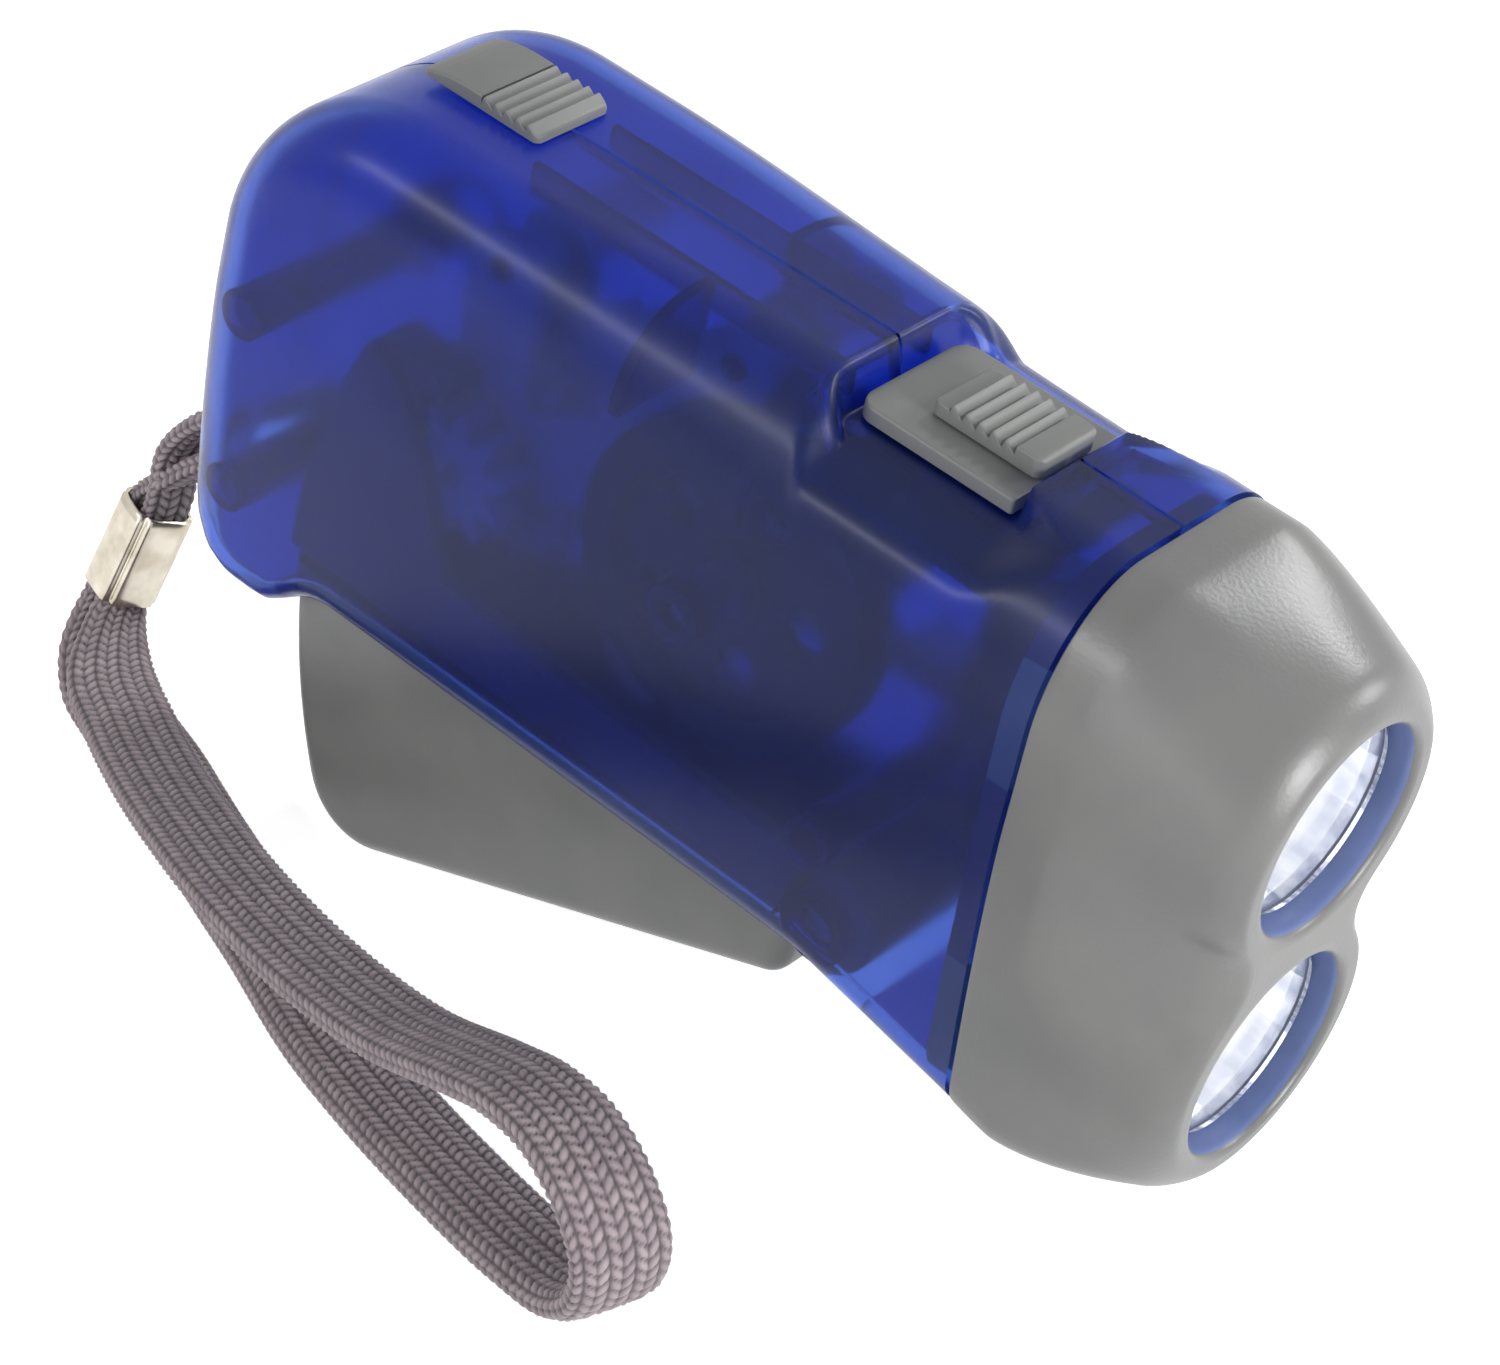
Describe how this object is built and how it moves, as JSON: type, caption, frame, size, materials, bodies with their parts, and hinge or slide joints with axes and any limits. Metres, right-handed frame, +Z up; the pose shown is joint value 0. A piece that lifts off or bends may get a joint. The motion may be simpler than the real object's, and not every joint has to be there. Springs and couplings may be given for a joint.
{
  "type": "squeeze-powered flashlight",
  "caption": "Hand torch with a squeeze trigger, gear train, flywheel generator, twin lenses, slide switch, trigger lock and a braided wrist strap.",
  "frame": {"origin": "under the middle of the torch as it stands on its trigger and the lower lip of its head, on the surface; the strap is not counted", "axes": "+X towards the beam, level; +Z up; +Y to the left of someone holding the torch; the beam points down by the standing tilt"},
  "size_m": [0.1305, 0.0645, 0.0712],
  "materials": {
    "blue_case": "satin",
    "grey_plastic": "satin",
    "clear_plastic": "polished",
    "bright_coating": "polished",
    "diode_resin": "polished",
    "board": "satin",
    "steel": "satin",
    "dark_plastic": "satin",
    "white_plastic": "satin",
    "brass": "satin",
    "magnet": "matte",
    "copper_wire": "gloss",
    "strap_braid": "matte",
    "nickel": "satin"
  },
  "bodies": {
    "torch_case": {"case_near": "blue_case", "case_far": "blue_case", "head_cover": "grey_plastic", "upper_lens": "clear_plastic", "lower_lens": "clear_plastic", "upper_reflector": "bright_coating", "lower_reflector": "bright_coating", "upper_led": "diode_resin", "lower_led": "diode_resin", "led_board": "board", "trigger_pin": "steel", "return_spring": "steel", "gear_plate_near": "dark_plastic", "gear_plate_far": "dark_plastic", "input_axle": "steel", "second_axle": "steel", "flywheel_axle": "steel", "stator_core": "steel", "bobbin": "dark_plastic", "winding": "copper_wire", "circuit_board": "board", "switch_body": "steel", "switch_plate": "grey_plastic", "cell_holder": "dark_plastic", "coin_cell": "steel", "cell_contact": "brass", "screw_rear_upper": "steel", "screw_rear_lower": "steel", "screw_front": "steel", "strap_loop": "strap_braid", "ferrule": "nickel", "wrist_strap": "strap_braid"},
    "trigger": {"trigger": "grey_plastic"},
    "input_gears": {"input_pinion": "white_plastic", "ratchet_pawl": "brass", "drive_gear": "white_plastic"},
    "second_gears": {"second_gear": "white_plastic"},
    "rotor": {"flywheel": "dark_plastic", "ring_magnet": "magnet"},
    "switch_slider": {"switch_knob": "grey_plastic"},
    "lock_slider": {"lock_button": "grey_plastic"}
  },
  "joints": [
    {"name": "trigger_hinge", "type": "hinge", "parent": "torch_case", "child": "trigger", "pos_m": [0.01385, 0, 0.01487], "axis": [0, 1, 0], "range_deg": [0, 20], "stiffness_Nm_per_rad": 0.5, "springref_deg": -20.05, "deforming": ["return_spring"]},
    {"name": "input_gear_spin", "type": "hinge", "parent": "torch_case", "child": "input_gears", "pos_m": [-0.02631, 0, 0.03929], "axis": [0, 1, 0], "range_deg": [-0.1, 208.1]},
    {"name": "second_gear_spin", "type": "hinge", "parent": "torch_case", "child": "second_gears", "pos_m": [-0.0132, 0, 0.04294], "axis": [0, 1, 0], "range_deg": [-381.5, 0.2]},
    {"name": "flywheel_spin", "type": "hinge", "parent": "torch_case", "child": "rotor", "pos_m": [0.00154, 0, 0.03885], "axis": [0, 1, 0], "range_deg": [-0.5, 915.7]},
    {"name": "switch_slide", "type": "slide", "parent": "torch_case", "child": "switch_slider", "axis": [0.9731, 0, -0.2302], "range_m": [-0.003, 0]},
    {"name": "lock_slide", "type": "slide", "parent": "torch_case", "child": "lock_slider", "axis": [0.9731, 0, -0.2302], "range_m": [0, 0.004]}
  ],
  "couplings": [
    {"joint": "input_gear_spin", "follows": "trigger_hinge", "ratio": 10.4},
    {"joint": "second_gear_spin", "follows": "trigger_hinge", "ratio": -19.067},
    {"joint": "flywheel_spin", "follows": "trigger_hinge", "ratio": 45.76}
  ]
}
